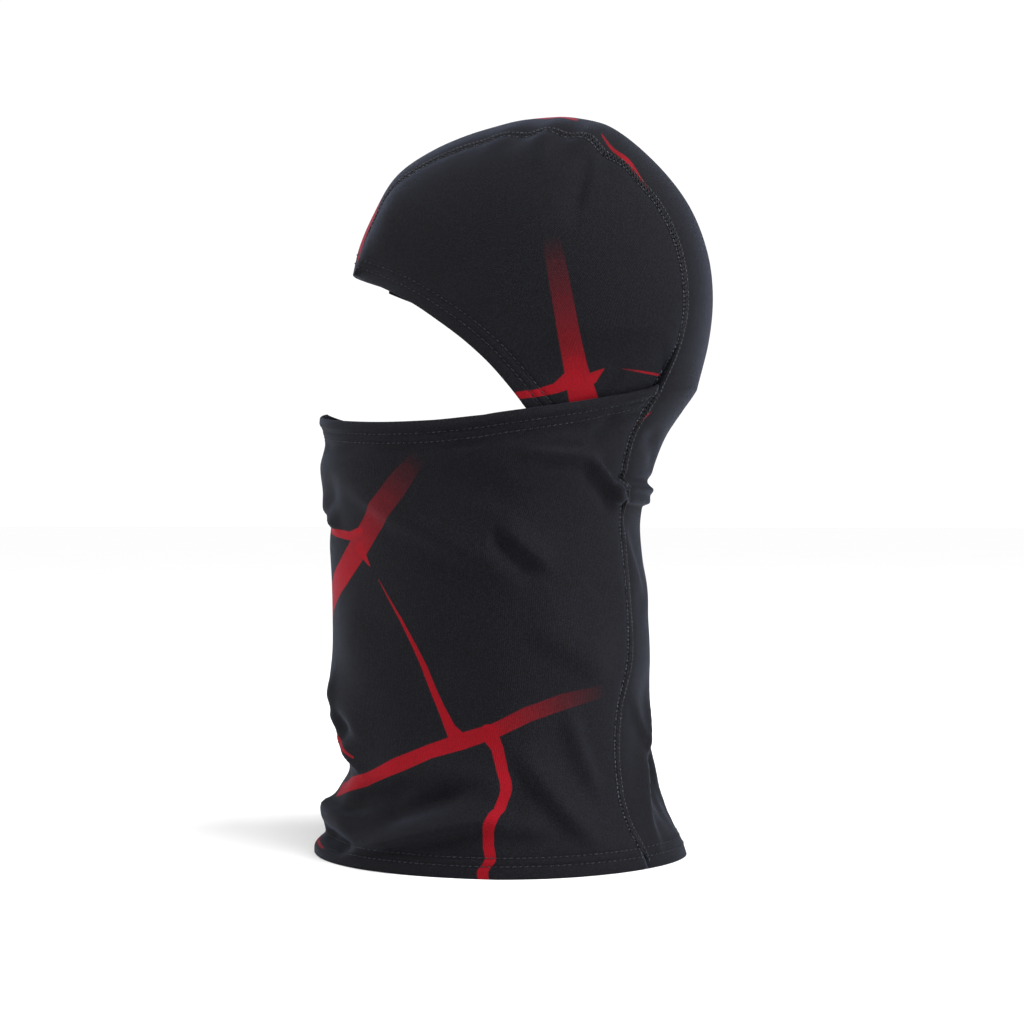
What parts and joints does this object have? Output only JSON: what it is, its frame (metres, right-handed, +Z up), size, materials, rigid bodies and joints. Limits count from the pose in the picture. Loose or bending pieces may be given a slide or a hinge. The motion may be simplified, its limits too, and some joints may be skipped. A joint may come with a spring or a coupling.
{
  "type": "balaclava",
  "caption": "Hinged knit balaclava: rounded hood, wide face opening, pull-down mask and flared neck gaiter, sewn from panels.",
  "frame": {"origin": "centre of the box on the plane of the bottom hem", "axes": "+Z up from the bottom hem to the crown, -Y the way the face looks, +X the wearer's left"},
  "size_m": [0.1572, 0.2047, 0.375],
  "materials": {
    "knit": null,
    "thread": "black textured polyester thread with a faint glint",
    "label": "blank woven satin ribbon"
  },
  "bodies": {
    "neck": {"back_neck_panel": "knit", "front_neck_panel": "knit", "front_fold_panel": "knit", "care_label": "label", "neck_flatlock_left": "thread", "neck_needle_inner_left": "thread", "neck_needle_outer_left": "thread", "neck_flatlock_right": "thread", "neck_needle_inner_right": "thread", "neck_needle_outer_right": "thread", "bottom_hem_needle_1": "thread", "bottom_hem_needle_2": "thread"},
    "hood": {"crown_panel": "knit", "hood_panel_left": "knit", "hood_panel_right": "knit", "hood_flatlock_left": "thread", "hood_needle_inner_left": "thread", "hood_needle_outer_left": "thread", "hood_flatlock_right": "thread", "hood_needle_inner_right": "thread", "hood_needle_outer_right": "thread", "face_hem_needle_1": "thread", "face_hem_needle_2": "thread"},
    "mask": {"mask_panel": "knit", "mask_hem_needle_1": "thread", "mask_hem_needle_2": "thread"}
  },
  "joints": [
    {"name": "hood_flip", "type": "hinge", "parent": "neck", "child": "hood", "pos_m": [0, 0.0965, 0.236], "axis": [-1, 0, 0], "range_deg": [0, 60]},
    {"name": "mask_pull", "type": "hinge", "parent": "neck", "child": "mask", "pos_m": [0, 0.079, 0.239], "axis": [1, 0, 0], "range_deg": [0, 14], "deforming": ["front_fold_panel"]}
  ]
}
